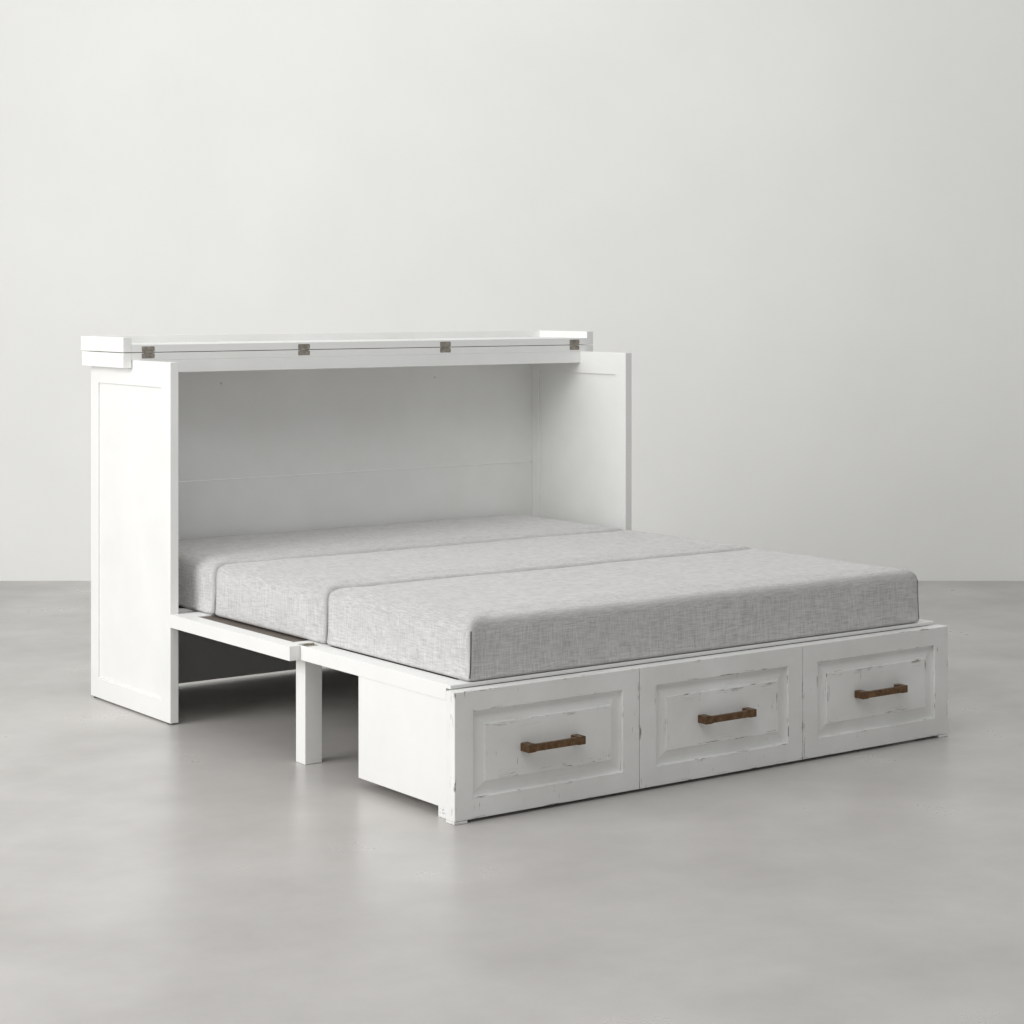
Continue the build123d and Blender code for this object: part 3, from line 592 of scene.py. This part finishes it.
def stepped(bm, face, steps):
    """Insets a face from the first step's place to each of the others in turn."""
    wear = bm.verts.layers.float["wear"]
    for (before, above, _), (inset, depth, rubbed) in zip(steps, steps[1:]):
        bmesh.ops.inset_region(
            bm, faces=[face], thickness=(inset - before) * MM, depth=(above - depth) * MM,
            use_even_offset=True, use_boundary=True)
        for vert in face.verts:
            vert[wear] = rubbed


def front_block(bm, low, high):
    """A block from the back of a front to the outermost line of its edge; returns its face."""
    near = Vector((low.x, low.y + FRONT_EDGE[0][1] * MM, low.z))
    bmesh.ops.create_cube(bm, size=1)
    bmesh.ops.scale(bm, verts=bm.verts, vec=high - near)
    bmesh.ops.translate(bm, verts=bm.verts, vec=(near + high) / 2)
    bm.normal_update()
    return min(bm.faces, key=lambda f: f.calc_center_median().y)


def worn_front(node, material):
    """One framed front: eased edges, moulded opening and a bevelled field, rubbed on the arrises."""
    low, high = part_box(node)
    bm = bmesh.new()
    upright = bm.faces.layers.float.new("upright")
    wear = bm.verts.layers.float.new("wear")
    face = front_block(bm, low, high)
    for vert in face.verts:
        vert[wear] = FRONT_EDGE[0][2]
    stepped(bm, face, FRONT_EDGE)

    # The frame's rails differ in height from the width of its stiles, so the opening's first line
    # is inset by the stiles' width and then moved to the rails.
    edge_end = (FRONT_EDGE[-1][0] - FRONT_STILE, 0.0, 0.0)
    stepped(bm, face, (edge_end, FRONT_PANEL[0]))
    for vert in face.verts:
        above = vert.co.z > (low.z + high.z) / 2
        vert.co.z += (FRONT_STILE - FRONT_TOP_RAIL if above else FRONT_BOTTOM_RAIL - FRONT_STILE) * MM
    stepped(bm, face, FRONT_PANEL)

    # The rubbed dashes run along each strip, so the strips that stand upright are marked.
    for strip in bm.faces:
        wide, tall = (
            max(v.co[axis] for v in strip.verts) - min(v.co[axis] for v in strip.verts)
            for axis in (0, 2))
        strip[upright] = float(tall > wide)
    bmesh.ops.recalc_face_normals(bm, faces=bm.faces)
    piece = put(f"{node}_worn", bm, material, body_of(node), (node,))
    piece.data.set_sharp_from_angle(angle=FACET_ANGLE)
    flat_with_soft_edges(piece)


def worn_feet(material):
    """The small feet under the fronts' ends, in the same paint."""
    bm = eased(merged_copy("chest_feet"), FOOT_EASING)
    layer = bm.verts.layers.float.new("wear")
    for vert in bm.verts:
        vert[layer] = FOOT_WEAR
    put("chest_feet_worn", bm, material, "foot_chest", ("chest_feet",))


class WALLBED_OT_fittings(bpy.types.Operator):
    """Finishes the hinges, runners, rollers, glides and handles"""

    bl_idname = "wallbed.fittings"
    bl_label = "Fittings"

    def execute(self, context):
        dress(STEEL, dull_metal("Grey zinc plate", "b5aea4", "8d867b", 0.45, 0.6))
        dress(ROLLERS, moulded("Grey rubber tread", "3a3a3b", "2c2c2d", 0.75))
        dress(("cabinet_glides",), moulded("Black nylon glide", "232323", "171717", 0.6))
        bronze = dull_metal(
            "Lacquered bronze", context.scene.bed_colours.bronze, "5e4a37", 0.38, 0.85)
        for side in SIDES:
            handle(side, bronze)
            tray_screws(side, bpy.data.materials["Grey zinc plate"])
        hinge_screws(bpy.data.materials["Grey zinc plate"])
        return {"FINISHED"}


# The handles, in millimetres: the easing of their edges, the width of a post, and the thin
# collar where the bar leaves each post, set in slightly at top and bottom.
HANDLE_EASING, POST_WIDTH = 1.4, 22
COLLAR_WIDTH, COLLAR_DEPTH, COLLAR_INSET, COLLAR_EASING = 3, 12.5, 1.2, 0.6
COLLAR_MIDDLE = 6.35


def handle(side, material):
    """A square bar pull with softened edges and collars where the bar leaves its posts."""
    node = f"drawer_handle_{side}"
    bm = eased(merged_copy(node), HANDLE_EASING, 3)
    low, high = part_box(node)
    middle = (low + high) / 2
    reach = (high.x - low.x) / 2 - (POST_WIDTH + COLLAR_WIDTH / 2) * MM
    for end in (-1, 1):
        made = bmesh.ops.create_cube(bm, size=1)["verts"]
        size = (COLLAR_WIDTH * MM, COLLAR_DEPTH * MM, high.z - low.z - COLLAR_INSET * MM)
        bmesh.ops.scale(bm, verts=made, vec=size)
        place = (middle.x + end * reach, low.y + COLLAR_MIDDLE * MM, middle.z)
        bmesh.ops.translate(bm, verts=made, vec=place)
        edges = list({e for v in made for e in v.link_edges})
        bmesh.ops.bevel(
            bm, geom=edges, offset=COLLAR_EASING * MM, segments=2, profile=0.5, affect="EDGES",
            material=-1)
    piece = put(f"bar_pull_{side}", bm, material, body_of(node), (node,))
    flat_with_soft_edges(piece)


# A screw head: how flat its dome is, and the width, length and depth of its cross, the first
# three as shares of its radius and the depth in millimetres.
DOME, CROSS_WIDTH, CROSS_LENGTH, CROSS_DEPTH = 0.35, 0.25, 0.6, 0.3


def screw_head(bm, place, axis, radius_mm):
    """A domed cross-recess screw head, proud by about a millimetre."""
    turn = Vector(axis).to_track_quat("Z", "Y").to_matrix()
    radius = radius_mm * MM
    made = bmesh.ops.create_uvsphere(bm, u_segments=16, v_segments=8, radius=radius)["verts"]
    bmesh.ops.scale(bm, verts=made, vec=(1, 1, DOME))
    for vert in made:
        in_cross = min(abs(vert.co.x), abs(vert.co.y)) < radius * CROSS_WIDTH
        if vert.co.z > 0 and in_cross and vert.co.xy.length < radius * CROSS_LENGTH:
            vert.co.z -= CROSS_DEPTH * MM
    bmesh.ops.rotate(bm, verts=made, matrix=turn)
    bmesh.ops.translate(bm, verts=made, vec=place)


# The lid hinges' screws, in millimetres: the width of a leaf, the spacing along it, how far the
# row stands from the middle of the leaves' height, how far its seat lies in, and the radius.
LID_HINGES, LEAF_WIDTH, LEAF_SCREWS = 4, 42, (-13, 0, 13)
LEAF_SCREW_RISE, LEAF_SCREW_SEAT, LEAF_SCREW_RADIUS = 2.2, 1.8, 2.6


def hinge_screws(material):
    """Three screws in each leaf of each lid hinge."""
    for leaf, rise in (("fixed", -LEAF_SCREW_RISE), ("moving", LEAF_SCREW_RISE)):
        node = f"lid_hinge_leaves_{leaf}"
        low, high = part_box(node)
        first = low.x + LEAF_WIDTH / 2 * MM
        spacing = (high.x - low.x - LEAF_WIDTH * MM) / (LID_HINGES - 1)
        y, z = high.y - LEAF_SCREW_SEAT * MM, (low.z + high.z) / 2 + rise * MM
        bm = bmesh.new()
        for hinge in range(LID_HINGES):
            for across in LEAF_SCREWS:
                place = (first + hinge * spacing + across * MM, y, z)
                screw_head(bm, place, (0, -1, 0), LEAF_SCREW_RADIUS)
        piece = put(f"lid_hinge_screws_{leaf}", bm, material, body_of(node), ())
        smooth(piece)


# The screws through a tray's front wall, in millimetres: in from its ends, its bottom and its
# top, the wall's thickness, and the radius.
TRAY_SCREW_END, TRAY_SCREW_LOW, TRAY_SCREW_HIGH, TRAY_WALL, TRAY_SCREW_RADIUS = 60, 50, 40, 12, 4.0


def tray_screws(side, material):
    """Screws through the tray's front wall into the drawer front."""
    low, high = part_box(f"drawer_box_{side}")
    bm = bmesh.new()
    for x in (low.x + TRAY_SCREW_END * MM, high.x - TRAY_SCREW_END * MM):
        for z in (low.z + TRAY_SCREW_LOW * MM, high.z - TRAY_SCREW_HIGH * MM):
            screw_head(bm, (x, low.y + TRAY_WALL * MM, z), (0, 1, 0), TRAY_SCREW_RADIUS)
    piece = put(f"tray_screws_{side}", bm, material, f"drawer_{side}", ())
    smooth(piece)


class WALLBED_OT_mattress(bpy.types.Operator):
    """Makes the three mattress sections as foam in a fitted woven cover"""

    bl_idname = "wallbed.mattress"
    bl_label = "Mattress"

    def execute(self, context):
        sizes = context.scene.bed_sizes
        cloth = heathered_cloth("Heathered grey linen cover", sizes.thread)
        for seed, node in enumerate(PADS):
            pad = mattress_pad(node, cloth, seed)
            if node == "mattress_head":
                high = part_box("front_platform_frame")[1]
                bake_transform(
                    pad, "cabinet", "front_platform",
                    start=(0, high.y + BEND_BEHIND, BEND_HEIGHT),
                    end=(0, high.y - BEND_AHEAD, BEND_HEIGHT))
        return {"FINISHED"}


# Where the head section bends, in metres: from this far behind the front platform's rear edge
# to this far in front of it, at the height of the platform.
BEND_BEHIND, BEND_AHEAD, BEND_HEIGHT = 0.15, 0.108, 0.32
# The mattress, in metres: the rounding of its top edges, of the edges that meet another section
# and of its underside, how square its corners are in plan, the grid that the cloth works on, and
# the space left to the solid's sides, seams and top.
TOP_RADIUS, SEAM_RADIUS, BASE_RADIUS = 0.030, 0.011, 0.010
SQUARENESS = 5.0
GRID_STEP = 0.0145
SIDE_SPACE, SEAM_SPACE, TOP_SPACE = 0.001, 0.0006, 0.001
# The cloth: its inner pressure, its stiffness, how many steps it is given, how deep the part of
# the underside is that stays put, and how far any point may move.
PRESSURE, STIFFNESS, CLOTH_STEPS, HELD_DEPTH, MOST_MOVED = 4.0, 25, 20, 0.004, 0.006


def gridded_block(low, high, step):
    """A box from corner to corner, cut into a grid of about one step."""
    bm = bmesh.new()
    bmesh.ops.create_cube(bm, size=1)
    size = high - low
    bmesh.ops.scale(bm, verts=bm.verts, vec=size)
    bmesh.ops.translate(bm, verts=bm.verts, vec=(low + high) / 2)
    for axis in range(3):
        along = [e for e in bm.edges if abs((e.verts[0].co - e.verts[1].co)[axis]) > size[axis] * 0.5]
        cuts = round(size[axis] / step) - 1
        bmesh.ops.subdivide_edges(bm, edges=along, cuts=cuts, use_grid_fill=True)
    return bm


def softened(bm, low, high, front_radius):
    """Rounds the box: broad edges above, tighter where it rests, meets another section or is piped."""
    for vert in bm.verts:
        share = min(1.0, max(0.0, (vert.co.z - low.z) / (0.6 * (high.z - low.z))))
        share = share * share * (3 - 2 * share)
        front = front_radius if vert.co.y < (low.y + high.y) / 2 else SEAM_RADIUS
        radii = Vector((
            BASE_RADIUS + (TOP_RADIUS - BASE_RADIUS) * share,
            BASE_RADIUS + (front - BASE_RADIUS) * share,
            BASE_RADIUS if vert.co.z < low.z + BASE_RADIUS else TOP_RADIUS,
        ))
        inner = Vector((
            min(max(vert.co.x, low.x + radii.x), high.x - radii.x),
            min(max(vert.co.y, low.y + radii.y), high.y - radii.y),
            min(max(vert.co.z, low.z + BASE_RADIUS), high.z - TOP_RADIUS),
        ))
        out = [abs(a) / b for a, b in zip(vert.co - inner, radii)]
        reach = math.hypot((out[0] ** SQUARENESS + out[1] ** SQUARENESS) ** (1 / SQUARENESS), out[2])
        if reach > 1e-6:
            vert.co = inner + (vert.co - inner) / reach
    return bm


def swollen(piece):
    """Blows the pad up a little with cloth, holding its underside, and limits how far it moves."""
    rest = [v.co.copy() for v in piece.data.vertices]
    floor = min(v.z for v in rest)
    modifier = piece.modifiers.new("Cloth", "CLOTH")
    settings = modifier.settings
    settings.use_pressure = True
    settings.uniform_pressure_force = PRESSURE
    settings.effector_weights.gravity = 0.0
    settings.tension_stiffness = settings.compression_stiffness = STIFFNESS
    held = piece.vertex_groups.new(name="held")
    held.add([i for i, v in enumerate(rest) if v.z < floor + HELD_DEPTH], 1.0, "ADD")
    settings.vertex_group_mass = "held"
    scene = bpy.context.scene
    for step in range(1, CLOTH_STEPS + 1):
        scene.frame_set(step)
    shape = piece.evaluated_get(bpy.context.evaluated_depsgraph_get()).to_mesh()
    moved = [v.co.copy() for v in shape.vertices]
    piece.modifiers.remove(modifier)
    scene.frame_set(1)
    for vert, start, end in zip(piece.data.vertices, rest, moved):
        shift = end - start
        if shift.length > MOST_MOVED:
            shift *= MOST_MOVED / shift.length
        vert.co = start + shift
    piece.vertex_groups.clear()


def mattress_pad(node, material, seed):
    """One section: a rounded block of foam, filled out by its cover and slightly uneven."""
    low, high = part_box(node)
    inside = Vector((SIDE_SPACE, SEAM_SPACE, 0))
    start, end = low + inside, high - inside - Vector((0, 0, TOP_SPACE))
    front_radius = TOP_RADIUS if node == "mattress_foot" else SEAM_RADIUS
    bm = softened(gridded_block(start, end, GRID_STEP), start, end, front_radius)
    piece = put(f"{node}_cover", bm, material, None, (node,))
    swollen(piece)
    shape_cover(piece, low, high, seed)
    finer = piece.modifiers.new("Smooth", "SUBSURF")
    finer.levels = finer.render_levels = 1
    applied(piece)
    if node == "mattress_foot":
        corner_piping(piece, low)
    smooth(piece)
    if node != "mattress_head":
        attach(piece, PADS[node])
    return piece


# The piping, in metres: its radius, its length, the height of its middle above the mattress's
# underside, how many rings bend it, how near a point of the cover counts, and how far it is let in.
PIPING_RADIUS, PIPING_LENGTH, PIPING_MIDDLE, PIPING_CUTS = 0.0016, 0.112, 0.066, 15
PIPING_NEAR, PIPING_SUNK = 0.0075, 0.0004


def corner_piping(pad, low):
    """The dark piped seam down each corner of the foot end, laid on the cover's own corner."""
    thread = moulded("Charcoal piping", "55575a", "3f4143", 0.85)
    for name, side in (("left", -1), ("right", 1)):
        bm = bmesh.new()
        bmesh.ops.create_cone(
            bm, cap_ends=True, segments=10, radius1=PIPING_RADIUS, radius2=PIPING_RADIUS,
            depth=PIPING_LENGTH)
        lengthways = [e for e in bm.edges if e.calc_length() > PIPING_LENGTH / 2]
        bmesh.ops.subdivide_edges(bm, edges=lengthways, cuts=PIPING_CUTS)
        bmesh.ops.translate(bm, verts=bm.verts, vec=(0, 0, low.z + PIPING_MIDDLE))
        corners = {}
        for vert in bm.verts:
            height = round(vert.co.z, 4)
            if height not in corners:
                near = [v.co for v in pad.data.vertices if abs(v.co.z - height) < PIPING_NEAR]
                corners[height] = max(near, key=lambda c: side * c.x - c.y)
            vert.co.x += corners[height].x - side * PIPING_SUNK
            vert.co.y += corners[height].y + PIPING_SUNK
        piece = put(f"corner_piping_{name}", bm, thread, "mattress_foot", ())
        smooth(piece)


def applied(piece):
    """Makes the modifiers' result the piece's own mesh."""
    made = bpy.data.meshes.new_from_object(
        piece.evaluated_get(bpy.context.evaluated_depsgraph_get()))
    piece.modifiers.clear()
    old = piece.data
    piece.data = made
    bpy.data.meshes.remove(old)
    made.name = piece.name


# The cover's unevenness as (waves to the metre, height in metres), how far it may stand out of
# the solid at its top and sides, and the space kept below it and at its seams.
WAVES = ((3.0, 0.0022), (11.0, 0.0008))
TOP_PROUD, SIDE_PROUD, BELOW_SPACE, END_SPACE = 0.004, 0.003, 0.0003, 0.0004


def shape_cover(piece, low, high, seed):
    """Slight unevenness over the cover, and everything kept inside the CAD solid's space."""
    offset = Vector((seed * 7.3, 3.1, 1.7))
    for vert in piece.data.vertices:
        point = vert.co
        lift = sum(noise.noise(point * count + offset) * height for count, height in WAVES)
        share = (point.z - low.z) / (high.z - low.z)
        vert.co = point + vert.normal * lift * min(1.0, max(0.0, share * 2))
        vert.co.z = min(max(vert.co.z, low.z + BELOW_SPACE), high.z + TOP_PROUD)
        vert.co.y = min(max(vert.co.y, low.y + END_SPACE), high.y - END_SPACE)
        vert.co.x = min(max(vert.co.x, low.x - SIDE_PROUD), high.x + SIDE_PROUD)


class WALLBED_PT_panel(bpy.types.Panel):
    """Lists the wall bed's pieces and sizes"""

    bl_idname = "WALLBED_PT_panel"
    bl_label = "Wall bed"
    bl_space_type = "VIEW_3D"
    bl_region_type = "UI"
    bl_category = "Wall bed"

    def draw(self, context):
        layout = self.layout
        for group in (context.scene.bed_colours, context.scene.bed_sizes):
            for name in group.__annotations__:
                layout.prop(group, name)
        for operator in OPERATORS:
            layout.operator(operator.bl_idname)


OPERATORS = (
    WALLBED_OT_stage, WALLBED_OT_woodwork, WALLBED_OT_boards, WALLBED_OT_fronts,
    WALLBED_OT_fittings, WALLBED_OT_mattress,
)
CLASSES = (BedColours, BedSizes, *OPERATORS, WALLBED_PT_panel)


def register():
    """Registers the classes and hangs the settings on the scene."""
    for cls in CLASSES:
        bpy.utils.register_class(cls)
    bpy.types.Scene.bed_colours = PointerProperty(type=BedColours)
    bpy.types.Scene.bed_sizes = PointerProperty(type=BedSizes)


def unregister():
    """Takes the settings and classes away again."""
    del bpy.types.Scene.bed_colours
    del bpy.types.Scene.bed_sizes
    for cls in reversed(CLASSES):
        bpy.utils.unregister_class(cls)


def main():
    """Builds everything in order."""
    register()
    bpy.ops.wallbed.stage()
    bpy.ops.wallbed.woodwork()
    bpy.ops.wallbed.boards()
    bpy.ops.wallbed.fronts()
    bpy.ops.wallbed.fittings()
    bpy.ops.wallbed.mattress()


if __name__ == "__main__":
    main()
